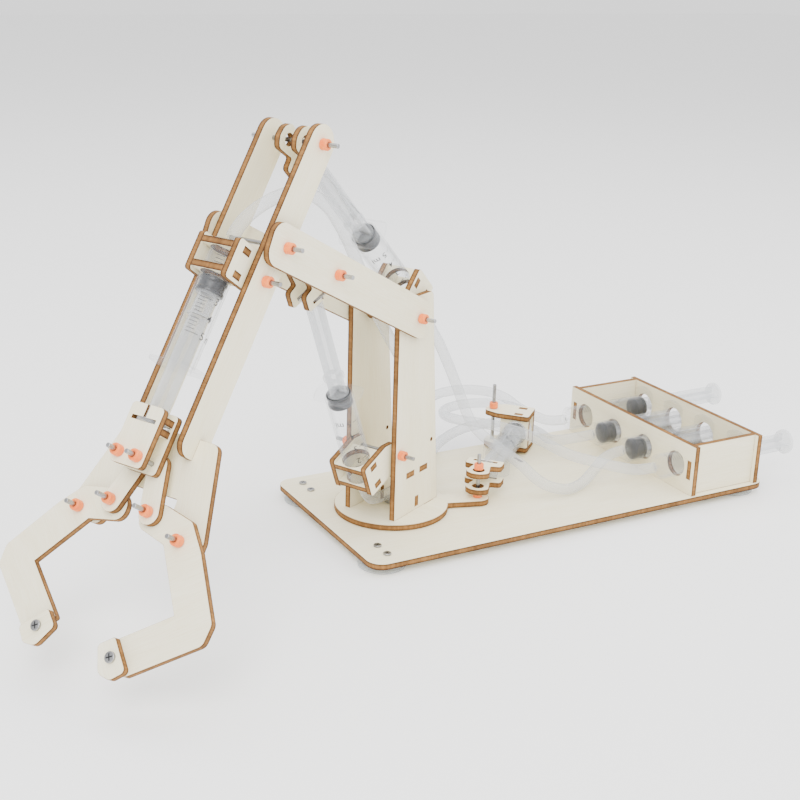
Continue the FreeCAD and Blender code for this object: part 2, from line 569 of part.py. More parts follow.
def make_forearm():
    corners = [
        (-FOREARM_TOP_REACH - FOREARM_HALF, -FOREARM_HALF, FOREARM_HALF - 0.2),
        (FOREARM_LOW_REACH, -FOREARM_HALF, 2.0), (FOREARM_LOW_REACH, FOREARM_HALF, 6.0),
        (-FOREARM_TOP_REACH - FOREARM_HALF, FOREARM_HALF, FOREARM_HALF - 0.2),
    ]
    holes = [(-FOREARM_TOP_REACH, 0, ROD_R), (0, 0, ROD_R + RUN_GAP), (GRIP_PIVOT_REACH, 0, ROD_R)]
    notch = (PLATE_TOP_REACH, GRIP_PLATE_RISE, FOREARM_LOW_REACH + 1, GRIP_PLATE_RISE + PLY)
    bar = sheet(corners, holes=holes, windows=[notch])
    # Drawing X down the forearm, drawing Y out from it.
    for name, low in (("forearm_near_bar", -FOREARM_OUT), ("forearm_far_bar", FOREARM_OUT - PLY)):
        place = frame((ELBOW[0], low, ELBOW[1]), (FORE_DIR[0], 0, FORE_DIR[1]), (FORE_OUT[0], 0, FORE_OUT[1]))
        nodes[name] = put(bar, ARM, place)
    top, hold = forearm_point(-FOREARM_TOP_REACH), forearm_point(GRIP_PIVOT_REACH)
    rods = [cross_rod(top, FOREARM_OUT), cross_rod(hold, FOREARM_OUT)]
    rings = cross_collars(top, FOREARM_OUT) + cross_collars(hold, FOREARM_OUT)
    jaw_top = JAW_RISE + PLY + SIDE_GAP
    for side in (-1, 1):
        x, y = side * JAW_PIVOT[1], JAW_PIVOT[0]
        low, high = GRIP_PLATE_RISE - COLLAR_LENGTH - 1.5, jaw_top + COLLAR_LENGTH + 5.0
        rods.append(rod((x, y, low), (x, y, high), ARM, GRIP))
        rings.append(collar((x, y, jaw_top), (0, 0, 1), ARM, GRIP))
        rings.append(collar((x, y, GRIP_PLATE_RISE), (0, 0, -1), ARM, GRIP))
    nodes["forearm_rods"] = Part.makeCompound(rods)
    nodes["forearm_collars"] = Part.makeCompound(rings)

    half_top, half_low, notch_half = 24.5, 36.0, 15.6
    right = [(half_top, PLATE_TOP_REACH, 4), (half_low, 124.0, 5), (half_low, PLATE_LOW_REACH, 4),
             (notch_half + 1, PLATE_LOW_REACH, 4), (notch_half, PLATE_NOTCH_REACH, 1)]
    left = [(-x, y, r) for x, y, r in reversed(right)]
    slots = [(low, PLATE_TOP_REACH - 1, low + PLY, FOREARM_LOW_REACH) for low in (-FOREARM_OUT, FOREARM_OUT - PLY)]
    holes = [(side * JAW_PIVOT[1], JAW_PIVOT[0], ROD_R) for side in (-1, 1)]
    plate = sheet(right + left, holes=holes, windows=slots)
    nodes["gripper_plate"] = put(plate, ARM, GRIP, frame((0, 0, GRIP_PLATE_RISE), (1, 0, 0), (0, 1, 0)))

    ahead = (-FORE_DIR[0], 0, -FORE_DIR[1])
    rise = (FORE_OUT[0], 0, FORE_OUT[1])
    hold_3d = (hold[0], 0, hold[1])
    nodes["grip_bracket"] = put(bracket(GRIP_OFFSET, ROD_R), ARM, frame(hold_3d, ahead, rise))
    shoulder = forearm_point(GRIP_PIVOT_REACH - SHOULDER_AHEAD, GRIP_OFFSET)
    pin = Vector(0, 1, 0)
    syringe = frame((shoulder[0], 0, shoulder[1]), tuple(pin), tuple(Vector(*ahead).cross(pin)))
    nodes["grip_barrel"] = put(barrel(), ARM, syringe)
    nodes["grip_plunger"] = put(plunger(GRIP_OUT), ARM, syringe)
    nodes["grip_seal"] = put(seal(GRIP_OUT), ARM, syringe)
    keep_tip("grip", ARM, syringe)


# ---- gripper ----
def make_push_block():
    thumb = GRIP_PIVOT_REACH - SHOULDER_AHEAD + PLUNGER_LENGTH + GRIP_OUT
    half = 8.5
    rib_half = RIB_T / 2 + SLOT_GAP
    pieces = []
    low, high = thumb - 7.0, PUSH_PIN[0] + 4.5
    corners = [(-half, low, 2), (half, low, 2), (half, high, 2), (-half, high, 2)]
    holes = [(side * PUSH_PIN[1], PUSH_PIN[0], ROD_R) for side in (-1, 1)]
    for low in (PUSH_BACK_RISE, PUSH_FRONT_RISE):
        # The slot is as wide as the thumb disc at the plate's nearer face.
        near = min(abs(low - GRIP_OFFSET), abs(low + PLY - GRIP_OFFSET))
        chord = math.sqrt(THUMB_R ** 2 - near ** 2) + 2 * SLOT_GAP
        slot = (-chord, thumb - THUMB_T, chord, thumb)
        rib_slot = (-rib_half, thumb - 8, rib_half, thumb)
        plate = sheet(corners, holes=holes, windows=[slot, rib_slot])
        pieces.append(put(plate, frame((0, 0, low), (1, 0, 0), (0, 1, 0))))
    # Two forked cross plates hold the thumb disc between them.
    for low in (thumb - THUMB_T - PLY, thumb):
        fork = box((-7.5, low, PUSH_BACK_RISE + PLY), (7.5, low + PLY, PUSH_FRONT_RISE))
        if low < thumb:
            fork = fork.cut(box((-RIB_HALF - SLOT_GAP, low, GRIP_OFFSET - rib_half),
                                (RIB_HALF + SLOT_GAP, low + PLY, GRIP_OFFSET + rib_half)))
            fork = fork.cut(box((-rib_half, low, PUSH_BACK_RISE), (rib_half, low + PLY, PUSH_FRONT_RISE)))
        pieces.append(fork)
    nodes["push_block"] = put(Part.makeCompound(pieces), ARM, GRIP)
    pins, rings = [], []
    front = PUSH_FRONT_RISE + PLY
    for side in (-1, 1):
        x, y = side * PUSH_PIN[1], PUSH_PIN[0]
        pins.append(rod((x, y, LINK_RISE - 1.2), (x, y, front + COLLAR_LENGTH + 4.0), ARM, GRIP))
        rings.append(collar((x, y, front), (0, 0, 1), ARM, GRIP))
    nodes["push_pins"] = Part.makeCompound(pins)
    nodes["push_collars"] = Part.makeCompound(rings)


def make_jaw(name, side):
    corners = [(4.0, 117.0, 6), (13.5, 115.0, 3), (29.5, 118.0, 3), (39.0, 128.0, 3), (56.5, 151.5, 4),
               (56.0, 160.0, 4), (27.0, 182.0, 2), (15.5, 171.0, 1), (38.5, 153.5), (20.5, 130.0), (4.0, 126.5, 5)]
    holes = [(*reversed(JAW_PIVOT), ROD_R + RUN_GAP), (*reversed(LINK_PIN), ROD_R)]
    tip = [(12.0, 174.0, 2), (18.5, 168.8, 1), (29.5, 179.3, 2), (24.0, 184.5, 3), (17.5, 184.0, 4)]
    screw_at = (20.5, 176.5)
    jaw = outline([(side * x, *rest) for x, *rest in corners]).extrude(Vector(0, 0, PLY))
    for x, y, radius in holes:
        jaw = jaw.cut(cylinder(radius, PLY, (side * x, y, 0)))
    pad = outline([(side * x, *rest) for x, *rest in tip]).extrude(Vector(0, 0, PLY)).translated(Vector(0, 0, PLY))
    shank = cylinder(SCREW_R, 2 * PLY, (side * screw_at[0], screw_at[1], 0))
    head = cylinder(2.3, 1.2, (side * screw_at[0], screw_at[1], 2 * PLY))
    lift = frame((0, 0, JAW_RISE), (1, 0, 0), (0, 1, 0))
    nodes[name + "_jaw"] = put(Part.makeCompound([jaw.cut(shank), pad.cut(shank)]), ARM, GRIP, lift)
    x, y = side * LINK_PIN[1], LINK_PIN[0]
    link_top = LINK_RISE + PLY + SIDE_GAP - JAW_RISE
    pin = cylinder(ROD_R, link_top + COLLAR_LENGTH + 6.0, (x, y, 0))
    nodes[name + "_jaw_pins"] = put(Part.makeCompound([pin, shank.fuse(head).removeSplitter()]), ARM, GRIP, lift)
    nodes[name + "_jaw_collar"] = collar((x, y, link_top), (0, 0, 1), ARM, GRIP, lift)

    reach = math.hypot(LINK_PIN[1] - PUSH_PIN[1], LINK_PIN[0] - PUSH_PIN[0])
    angle = math.atan2(LINK_PIN[0] - PUSH_PIN[0], side * (LINK_PIN[1] - PUSH_PIN[1]))
    along = (math.cos(angle), math.sin(angle), 0)
    link = sheet(bar_corners(reach, 4.8, 5.0, 5.0, 4.6), holes=[(0, 0, ROD_R + RUN_GAP), (reach, 0, LINK_HOLE_R)])
    place = frame((side * PUSH_PIN[1], PUSH_PIN[0], LINK_RISE), along, (-along[1], along[0], 0))
    nodes[name + "_link"] = put(link, ARM, GRIP, place)


# ---- hoses: straight runs joined by tangent arcs ----
def arm_points(points):
    return [tuple(ARM.multVec(Vector(*point))) for point in points]


def hose(name, first, way, last):
    points = first + [Vector(*point) for point in way] + last[::-1]
    edges = []
    radii = []
    reached = points[0]
    for index in range(1, len(points) - 1):
        here = points[index]
        back, ahead = points[index - 1] - here, points[index + 1] - here
        shorter = min(back.Length, ahead.Length)
        turn = math.pi - back.getAngle(ahead)
        cut = 0.45 * shorter
        radius = cut / math.tan(turn / 2)
        radii.append(radius)
        start = here + back.normalize() * cut
        end = here + ahead.normalize() * cut
        bisector = (back + ahead).normalize()
        middle = here + bisector * (radius / math.cos(turn / 2) - radius)
        edges.append(Part.LineSegment(reached, start).toShape())
        edges.append(Part.Arc(start, middle, end).toShape())
        reached = end
    edges.append(Part.LineSegment(reached, points[-1]).toShape())
    path = Part.Wire(edges)
    ring = Part.Wire(Part.makeCircle(HOSE_R, points[0], points[1] - points[0]))
    print(name, "length", round(path.Length, 1), "bend radii", [round(radius) for radius in radii])
    nodes[name] = path.makePipeShell([ring], True, False, 2)


make_board()
make_feet()
make_control_box()
make_turntable()
hydraulic("lift", (LIFT_PIVOT[0], 0, LIFT_PIVOT[1]), (BOOM_LIFT[0], 0, BOOM_LIFT[1]), (0, 1, 0),
          LIFT_SIDE * BRACKET_OFFSET, ARM, ROD_R + RUN_GAP, LIFT_EYE_R)
hydraulic("elbow", (SHOULDER[0], 0, SHOULDER[1]), (FOREARM_TOP[0], 0, FOREARM_TOP[1]), (0, 1, 0),
          ELBOW_SIDE * BRACKET_OFFSET, ARM, ROD_R + RUN_GAP, ELBOW_EYE_R)
hydraulic("steer", (*STEER_ROD, BOARD_TOP + STEER_Z), (*LEVER_PIN, BOARD_TOP + STEER_Z), (0, 0, 1),
          STEER_SIDE * BRACKET_OFFSET, FreeCAD.Placement(), ROD_R + RUN_GAP, STEER_EYE_R)
steer_clearance = BRACKET_IN + PLY + SIDE_GAP
nodes["steer_collars"] = Part.makeCompound([
    collar((*STEER_ROD, BOARD_TOP + STEER_Z + steer_clearance), (0, 0, 1)),
    collar((*STEER_ROD, BOARD_TOP), (0, 0, 1), length=STEER_Z - steer_clearance),
])
make_boom()
make_forearm()
make_push_block()
make_jaw("right", -1)
make_jaw("left", 1)

hose("turn_hose", tips["control_turn"], TURN_WAY, tips["steer"])
hose("grip_hose", tips["control_grip"], GRIP_WAY + arm_points(GRIP_ARM_WAY), tips["grip"])
hose("lift_hose", tips["control_lift"], LIFT_WAY + arm_points(LIFT_ARM_WAY), tips["lift"])
hose("elbow_hose", tips["control_elbow"], ELBOW_WAY + arm_points(ELBOW_ARM_WAY), tips["elbow"])

# The steering plunger and its seal are one node: they never part.
nodes["steer_plunger"] = Part.makeCompound([nodes["steer_plunger"], nodes.pop("steer_seal")])

body_box = FreeCAD.BoundBox()
for name, shape in nodes.items():
    if not name.endswith("_hose"):
        body_box.add(shape.optimalBoundingBox(False))
shift = Vector(-body_box.Center.x, -body_box.Center.y, -body_box.ZMin)
print("turntable axis in the row frame", [round(v, 4) for v in shift])
os.makedirs("parts", exist_ok=True)
for name, shape in nodes.items():
    shape.translated(shift).exportStep("parts/" + name + ".step")
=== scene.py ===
import json
import math

import bmesh
import bpy
from mathutils import Matrix, Vector


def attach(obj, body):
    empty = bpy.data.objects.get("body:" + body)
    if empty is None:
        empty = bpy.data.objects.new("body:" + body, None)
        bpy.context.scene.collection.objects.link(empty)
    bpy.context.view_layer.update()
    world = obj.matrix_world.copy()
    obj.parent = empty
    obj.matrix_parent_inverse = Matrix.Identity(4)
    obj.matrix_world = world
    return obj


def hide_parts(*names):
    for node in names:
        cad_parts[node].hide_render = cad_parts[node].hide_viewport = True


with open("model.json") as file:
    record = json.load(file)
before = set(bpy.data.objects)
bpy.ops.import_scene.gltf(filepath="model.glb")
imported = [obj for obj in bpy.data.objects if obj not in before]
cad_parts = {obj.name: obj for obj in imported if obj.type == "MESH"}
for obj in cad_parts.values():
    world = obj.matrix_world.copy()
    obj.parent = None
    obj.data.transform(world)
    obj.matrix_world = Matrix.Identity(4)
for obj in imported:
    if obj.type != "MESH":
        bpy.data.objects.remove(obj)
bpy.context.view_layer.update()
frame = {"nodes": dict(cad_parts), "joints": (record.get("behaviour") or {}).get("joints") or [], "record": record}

# Lengths below are in millimetres, and at() and at_arm() turn them into the row frame's metres.
MM = 0.001
joints = {joint["name"]: joint for joint in frame["joints"]}
body_of_node = {
    node: body for body, nodes in frame["record"]["behaviour"]["bodies"].items() for node in nodes
}
slot_of_node = {part["node"]: part["material_slot"] for part in frame["record"]["subparts"]}

# ---- frames: the turntable's axis on the floor, and the arm's own plane, turned from +X ----
AXIS = Vector(joints["base_turn"]["pos_m"])
ACROSS = Vector(joints["boom_lift"]["axis"])
UP = Vector((0, 0, 1))
ALONG = ACROSS.cross(UP)
BOARD_TOP = AXIS.z / MM


def at(x, y, z):
    """A point of the bench frame: origin on the floor under the turntable's axis."""
    return Vector((AXIS.x, AXIS.y, 0)) + Vector((x, y, z)) * MM


def at_arm(x, y, z):
    """A point of the arm's frame: x in the arm's plane, y across it, z above the board's top."""
    return AXIS + (ALONG * x + ACROSS * y + UP * z) * MM


# ---- camera ----
def make_camera():
    target = at(-48.46, -92.13, 102.75)
    distance = 0.5664
    yaw, pitch, roll = (math.radians(angle) for angle in (29.40, 19.29, 1.753))
    view = Vector((math.sin(yaw) * math.cos(pitch), math.cos(yaw) * math.cos(pitch), -math.sin(pitch)))
    right = Vector((math.cos(yaw), -math.sin(yaw), 0))
    up = right.cross(view)
    tilted_right = right * math.cos(roll) + up * math.sin(roll)
    tilted_up = up * math.cos(roll) - right * math.sin(roll)
    data = bpy.data.cameras.new("camera")
    data.sensor_width = 36.0
    data.lens = 60.27
    data.clip_start = 0.01
    camera = bpy.data.objects.new("camera", data)
    bpy.context.scene.collection.objects.link(camera)
    turn = Matrix((tilted_right, tilted_up, -view)).transposed()
    camera.matrix_world = Matrix.Translation(target - view * distance) @ turn.to_4x4()
    bpy.context.scene.camera = camera


make_camera()


# ---- materials ----
class Nodes:
    """A material's node tree, with short calls to add and join its nodes."""

    def __init__(self, name):
        self.material = bpy.data.materials.new(name)
        self.material.use_nodes = True
        self.tree = self.material.node_tree
        self.shader = self.tree.nodes["Principled BSDF"]

    def add(self, kind, **inputs):
        node = self.tree.nodes.new("ShaderNode" + kind)
        for key, value in inputs.items():
            self.join(value, node.inputs[key.replace("_", " ")])
        return node

    def join(self, value, socket):
        if isinstance(value, bpy.types.NodeSocket):
            self.tree.links.new(value, socket)
        else:
            socket.default_value = value

    def set(self, **inputs):
        for key, value in inputs.items():
            self.join(value, self.shader.inputs[key.replace("_", " ")])

    def ramp(self, factor, *stops):
        node = self.tree.nodes.new("ShaderNodeValToRGB")
        self.tree.links.new(factor, node.inputs[0])
        while len(node.color_ramp.elements) < len(stops):
            node.color_ramp.elements.new(0.5)
        for element, (place, colour) in zip(node.color_ramp.elements, stops):
            element.position = place
            element.color = (*colour, 1.0)
        return node.outputs[0]

    def grain(self, scale):
        """The piece's own board coordinates: x along the grain, y across it, z through the sheet."""
        source = self.tree.nodes.new("ShaderNodeAttribute")
        source.attribute_name = "grain"
        mapping = self.add("Mapping", Vector=source.outputs["Vector"], Scale=scale)
        return mapping.outputs[0]

    def noise(self, vector, scale, detail=3.0, roughness=0.55):
        node = self.add("TexNoise", Vector=vector, Scale=scale, Detail=detail, Roughness=roughness)
        return node.outputs["Fac"]

    def bump(self, height, strength, distance):
        node = self.add("Bump", Height=height, Strength=strength, Distance=distance)
        return node.outputs[0]

    def mix(self, factor, first, second, mode="MIX"):
        node = self.tree.nodes.new("ShaderNodeMix")
        node.data_type = "RGBA"
        node.blend_type = mode
        self.join(factor, node.inputs["Factor"])
        self.join(first, node.inputs[6])
        self.join(second, node.inputs[7])
        return node.outputs[2]


def ply_face():
    m = Nodes("plywood_face")
    broad = m.noise(m.grain((12, 90, 1)), 1.0, 4.0)
    fine = m.noise(m.grain((70, 1900, 1)), 1.0, 5.0, 0.65)
    tone = m.ramp(broad, (0.25, (0.82, 0.76, 0.55)), (0.75, (0.88, 0.83, 0.65)))
    streak = m.ramp(fine, (0.30, (0.90, 0.85, 0.76)), (0.62, (1.0, 1.0, 1.0)))
    m.set(
        Base_Color=m.mix(0.75, tone, streak, "MULTIPLY"),
        Roughness=m.ramp(fine, (0.2, (0.62, 0.62, 0.62)), (0.8, (0.74, 0.74, 0.74))),
        Normal=m.bump(fine, 0.25, 0.0001),
    )
    m.shader.inputs["Specular IOR Level"].default_value = 0.25
    return m.material


# Half of the plywood's thickness, in metres.
PLY_HALF = 0.0015


def ply_edge():
    """The laser's burnt cut: darkest at both faces, with the plies' layers and the beam's fine lines."""
    m = Nodes("plywood_edge")
    through = m.add("SeparateXYZ", Vector=m.grain((1, 1, 1))).outputs[2]
    half = m.add("Math", Value=through)
    half.operation = "ABSOLUTE"
    share = m.add("Math", Value=half.outputs[0])
    share.operation = "DIVIDE"
    share.inputs[1].default_value = PLY_HALF
    layer = m.ramp(
        share.outputs[0],
        (0.0, (0.30, 0.16, 0.055)),
        (0.5, (0.25, 0.125, 0.042)),
        (0.72, (0.10, 0.045, 0.017)),
        (1.0, (0.05, 0.022, 0.010)),
    )
    streaks = m.noise(m.grain((700, 700, 90)), 1.0, 4.0)
    char = m.noise(m.grain((60, 60, 60)), 1.0, 2.0)
    lines = m.ramp(streaks, (0.3, (0.55, 0.5, 0.46)), (0.72, (1.2, 1.15, 1.05)))
    patches = m.ramp(char, (0.35, (0.62, 0.55, 0.5)), (0.65, (1.15, 1.1, 1.0)))
    toned = m.mix(0.85, layer, lines, "MULTIPLY")
    m.set(
        Base_Color=m.mix(0.7, toned, patches, "MULTIPLY"),
        Roughness=0.8,
        Normal=m.bump(streaks, 0.5, 0.0001),
    )
    m.shader.inputs["Specular IOR Level"].default_value = 0.2
    return m.material


def scorch():
    m = Nodes("plywood_scorch")
    patches = m.noise(m.grain((150, 150, 150)), 1.0, 3.0)
    m.set(
        Base_Color=m.ramp(patches, (0.3, (0.20, 0.10, 0.035)), (0.7, (0.42, 0.25, 0.10))),
        Roughness=0.8,
    )
    return m.material


def clear_plastic(name, body, rim, tint, rough):
    """See-through plastic: thin where it faces the eye, and milkier where its wall is seen edge on."""
    m = Nodes(name)
    facing = m.add("LayerWeight", Blend=0.45).outputs["Facing"]
    density = m.ramp(facing, (0.35, (body, body, body)), (0.95, (rim, rim, rim)))
    mould = m.noise(m.add("TexCoord").outputs["Object"], 400.0, 2.0)
    m.set(
        Base_Color=tint,
        Roughness=rough,
        Alpha=density,
        Normal=m.bump(mould, 0.08, 0.0002),
    )
    m.shader.inputs["Specular IOR Level"].default_value = 0.35
    return m.material


def rubber(name, dark, light, rough, texture):
    m = Nodes(name)
    spots = m.noise(m.add("TexCoord").outputs["Object"], texture, 4.0)
    m.set(
        Base_Color=m.ramp(spots, (0.3, dark), (0.7, light)),
        Roughness=rough,
        Normal=m.bump(spots, 0.15, 0.0002),
    )
    m.shader.inputs["Sheen Weight"].default_value = 0.1
    return m.material


def steel():
    m = Nodes("bright_steel")
    object_place = m.add("TexCoord").outputs["Object"]
    scratches = m.noise(object_place, 2500.0, 3.0)
    stains = m.noise(object_place, 120.0, 3.0)
    m.set(
        Base_Color=m.ramp(stains, (0.3, (0.26, 0.26, 0.265)), (0.7, (0.42, 0.42, 0.425))),
        Metallic=1.0,
        Roughness=m.ramp(scratches, (0.3, (0.22, 0.22, 0.22)), (0.7, (0.42, 0.42, 0.42))),
        Normal=m.bump(scratches, 0.1, 0.0001),
    )
    return m.material


def ink():
    m = Nodes("printed_ink")
    worn = m.noise(m.add("TexCoord").outputs["Object"], 1800.0, 2.0)
    m.set(Base_Color=m.ramp(worn, (0.3, (0.015, 0.015, 0.017)), (0.75, (0.07, 0.07, 0.075))), Roughness=0.5)
    return m.material


PLY_FACE, PLY_EDGE, SCORCH = ply_face(), ply_edge(), scorch()
CLEAR = clear_plastic("clear_syringe", 0.05, 0.34, (0.55, 0.57, 0.60, 1), 0.12)
PLUNGER_CLEAR = clear_plastic("milky_plunger", 0.30, 0.55, (0.62, 0.64, 0.66, 1), 0.25)
HOSE_CLEAR = clear_plastic("clear_hose", 0.26, 0.62, (0.60, 0.62, 0.64, 1), 0.2)
FOOT_CLEAR = clear_plastic("clear_foot", 0.35, 0.75, (0.55, 0.58, 0.60, 1), 0.15)
ORANGE = rubber("orange_silicone", (0.85, 0.14, 0.015), (0.95, 0.24, 0.04), 0.5, 500.0)
BLACK = rubber("black_rubber", (0.002, 0.002, 0.003), (0.010, 0.010, 0.012), 0.35, 900.0)
STEEL = steel()
INK = ink()


# ---- pieces made from the frame's own plates, rods and mouldings ----
def new_piece(name, mesh, body, slot, *materials):
    piece = bpy.data.objects.new(name, mesh)
    bpy.context.scene.collection.objects.link(piece)
    for material in materials:
        mesh.materials.append(material)
    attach(piece, body)
    return piece


def clean_copy(node):
    """The node's shape with its flat faces whole, ready for rounded edges."""
    shape = bmesh.new()
    shape.from_mesh(frame["nodes"][node].data)
    bmesh.ops.remove_doubles(shape, verts=shape.verts, dist=1e-6)
    crowded = [edge for edge in shape.edges if len(edge.link_faces) > 2]
    bmesh.ops.split_edges(shape, edges=crowded)
    bmesh.ops.dissolve_limit(shape, angle_limit=math.radians(0.4), verts=shape.verts, edges=shape.edges)
    return shape


def islands(shape):
    """The separate solids of a mesh, as lists of faces."""
    left = set(shape.faces)
    found = []
    while left:
        stack = [left.pop()]
        island = []
        while stack:
            face = stack.pop()
            island.append(face)
            for edge in face.edges:
                for other in edge.link_faces:
                    if other in left:
                        left.remove(other)
                        stack.append(other)
        found.append(island)
    return found


def sheet_axes(island):
    """A plate's normal is the direction with the most flat area, and its grain runs its longest way."""
    areas = {}
    for face in island:
        key = tuple(round(abs(part), 2) for part in face.normal)
        areas.setdefault(key, [0.0, face.normal.copy()])
        areas[key][0] += face.calc_area()
    normal = max(areas.values(), key=lambda entry: entry[0])[1].normalized()
    points = {vert for face in island for vert in face.verts}
    longest = max(
        (edge for face in island for edge in face.edges),
        key=lambda edge: 0 if abs((edge.verts[0].co - edge.verts[1].co).normalized().dot(normal)) > 0.1
        else edge.calc_length(),
    )
    grain = (longest.verts[0].co - longest.verts[1].co).normalized()
    centre = sum((vert.co for vert in points), Vector()) / len(points)
    return normal, grain, centre, points


def plywood(node, edge_width=0.00025):
    """A laser-cut plate: pale faces, burnt edges and a thin scorched line round every cut."""
    shape = clean_copy(node)
    layer = shape.verts.layers.float_vector.new("grain")
    for number, island in enumerate(islands(shape)):
        normal, grain, centre, points = sheet_axes(island)
        across = normal.cross(grain)
        offset = Vector((0.37, 0.71, 0)) * (number + 1) + centre * 3.1
        for vert in points:
            place = vert.co - centre
            vert[layer] = (place.dot(grain) + offset.x, place.dot(across) + offset.y, place.dot(normal))
        for face in island:
            face.material_index = 0 if abs(face.normal.dot(normal)) > 0.99 else 1
            face.smooth = face.material_index == 1
    mesh = bpy.data.meshes.new(node + "_wood")
    shape.to_mesh(mesh)
    shape.free()
    piece = new_piece(node + "_wood", mesh, body_of_node[node], "plywood", PLY_FACE, PLY_EDGE, SCORCH)
    add_bevel(piece, edge_width, material=2)
    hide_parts(node)
    return piece


def add_bevel(piece, width, material=-1, angle=35):
    bevel = piece.modifiers.new("rounded_edges", "BEVEL")
    bevel.limit_method = "ANGLE"
    bevel.angle_limit = math.radians(angle)
    bevel.width = width
    bevel.segments = 2
    bevel.material = material
    bevel.use_clamp_overlap = True


# A seal is shorter than this and a plunger is longer, in metres.
SEAL_LIMIT = 0.02


def reach(island):
    """The longest side of a solid's box."""
    points = [vert.co for face in island for vert in face.verts]
    spans = []
    for axis in range(3):
        places = [point[axis] for point in points]
        spans.append(max(places) - min(places))
    return max(spans)


def moulding(node, material, edge_width, slot=None):
    """A turned or moulded piece with soft edges and smooth round faces."""
    shape = clean_copy(node)
    for face in shape.faces:
        face.smooth = True
    if node.endswith("_plunger"):
        # The control plungers' nodes and the steering plunger's node also hold their black seals.
        for island in islands(shape):
            if reach(island) < SEAL_LIMIT:
                for face in island:
                    face.material_index = 1
    for edge in shape.edges:
        if len(edge.link_faces) == 2 and edge.calc_face_angle(0) > math.radians(35):
            edge.smooth = False
    mesh = bpy.data.meshes.new(node + "_look")
    shape.to_mesh(mesh)
    shape.free()
    piece = new_piece(node + "_look", mesh, body_of_node[node], slot or slot_of_node[node], material, BLACK)
    add_bevel(piece, edge_width)
    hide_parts(node)
    return piece


MOULDINGS = {
    "steel": (STEEL, 0.0002),
    "silicone_collar": (ORANGE, 0.0005),
    "seal_rubber": (BLACK, 0.0002),
    "foot": (FOOT_CLEAR, 0.0003),
    "syringe_plastic": (PLUNGER_CLEAR, 0.00012),
}
HOSES = ("turn_hose", "grip_hose", "lift_hose", "elbow_hose")

for node in frame["nodes"]:
    if node in HOSES:
        continue
    if slot_of_node[node] == "plywood":
        plywood(node)
    elif "barrel" in node:
        moulding(node, CLEAR, 0.0002)
    else:
        moulding(node, *MOULDINGS[slot_of_node[node]])

# ---- hoses ----
HOSE_RADIUS = 2.9
HOSE_LEAD = 10.0
NOZZLE = 3.0
# From a swinging syringe's pivot: to its axis, and ahead to its shoulder.
TO_AXIS = 15.0
SHOULDER_AHEAD = 8.8
# The grip syringe's shoulder from the elbow: ahead and up.
GRIP_AHEAD = 7.2
GRIP_UP = 12.0
# The control syringes' shoulders in the bench frame, and how far above the board their axes are.
CONTROL_X = 141.3
CONTROL_HEIGHT = 14.0
# The steering syringe's axis above its pivot.
STEER_HEIGHT = 12.5


class Syringe:
    """Where a syringe is: its shoulder, and its way to the nozzle."""

    def __init__(self, shoulder, ahead):
        self.shoulder = shoulder
        self.ahead = Vector(ahead).normalized()

    def point(self, along):
        return self.shoulder + self.ahead * along * MM


def swinging(pivot_joint, stroke_joint, across, side, level=0.0):
    """A syringe held beside its bracket's pivot."""
    ahead = Vector(joints[stroke_joint]["axis"])
    pivot = Vector(joints[pivot_joint]["pos_m"]) + UP * level * MM
    to_axis = Vector(across).cross(ahead) * side
    return Syringe(pivot + (to_axis * TO_AXIS + ahead * SHOULDER_AHEAD) * MM, ahead)


REACH = Vector(joints["grip"]["axis"])
RISE = Vector(joints["jaw_left"]["axis"])
ELBOW = Vector(joints["elbow"]["pos_m"])
CONTROL_Y = {"grip": 41.25, "lift": 13.75, "elbow": -13.75, "turn": -41.25}
syringes = {
    "steer": swinging("steer_swing", "steer_stroke", UP, -1, level=STEER_HEIGHT),
    "lift": swinging("lift_swing", "lift_stroke", ACROSS, 1),
    "elbow": swinging("elbow_swing", "elbow_stroke", ACROSS, -1),
    "grip": Syringe(ELBOW + (REACH * GRIP_AHEAD + RISE * GRIP_UP) * MM, -REACH),
}
for name, y in CONTROL_Y.items():
    syringes["control_" + name] = Syringe(at(CONTROL_X, y, BOARD_TOP + CONTROL_HEIGHT), (-1, 0, 0))

# Ways between the two nozzles, from the control box on: points of the bench frame.
TURN_WAY = [(119, -36, 22.5), (110, -28, 24), (98, -18, 26.5), (92, 4, 30), (84, 20, 31), (77, 36, 30),
            (72, 52, 27), (72, 68, 24), (79, 83, 21.5), (93, 92, 20), (109, 92, 19.5), (122, 83, 19.5),
            (127.5, 69.5, 19.5)]
GRIP_WAY = [(119, 46.6, 24.8), (113.8, 55.8, 27.8), (113.8, 67, 30), (107.5, 78.5, 31.5), (95, 86, 32),
            (78, 86, 32), (62, 76, 32), (50, 59, 34), (38, 38, 41), (27, 21, 53), (15, 9, 70)]
LIFT_WAY = [(119.5, 19, 18.5), (117.5, 28.5, 16.4), (121.5, 39.5, 15.2), (123.5, 50, 13.5), (124, 61, 13),
            (116, 71.5, 12.5), (103, 76, 12), (88, 74, 12), (72, 66, 12), (57, 54, 12), (44, 38, 13),
            (32, 22, 15)]
ELBOW_WAY = [(117, -17, 14), (104, -24, 10.5), (90, -28, 11), (78, -22, 15), (72, -10, 24), (64, 4, 30.5),
             (58, 18, 38)]
# The rest of each way runs in the arm's frame.
GRIP_ARM_WAY = [(3, 0, 83), (-13, -1, 101), (-29, -4, 119), (-43, -7, 138), (-55, -8, 155), (-68, -7, 171),
                (-85, -3, 179)]
LIFT_ARM_WAY = [(13, 0, 9.8), (1, 0, 9.1), (-11, 0, 9.4)]
ELBOW_ARM_WAY = [(60, -2, 48), (50, 0, 67), (37, 0, 85)]
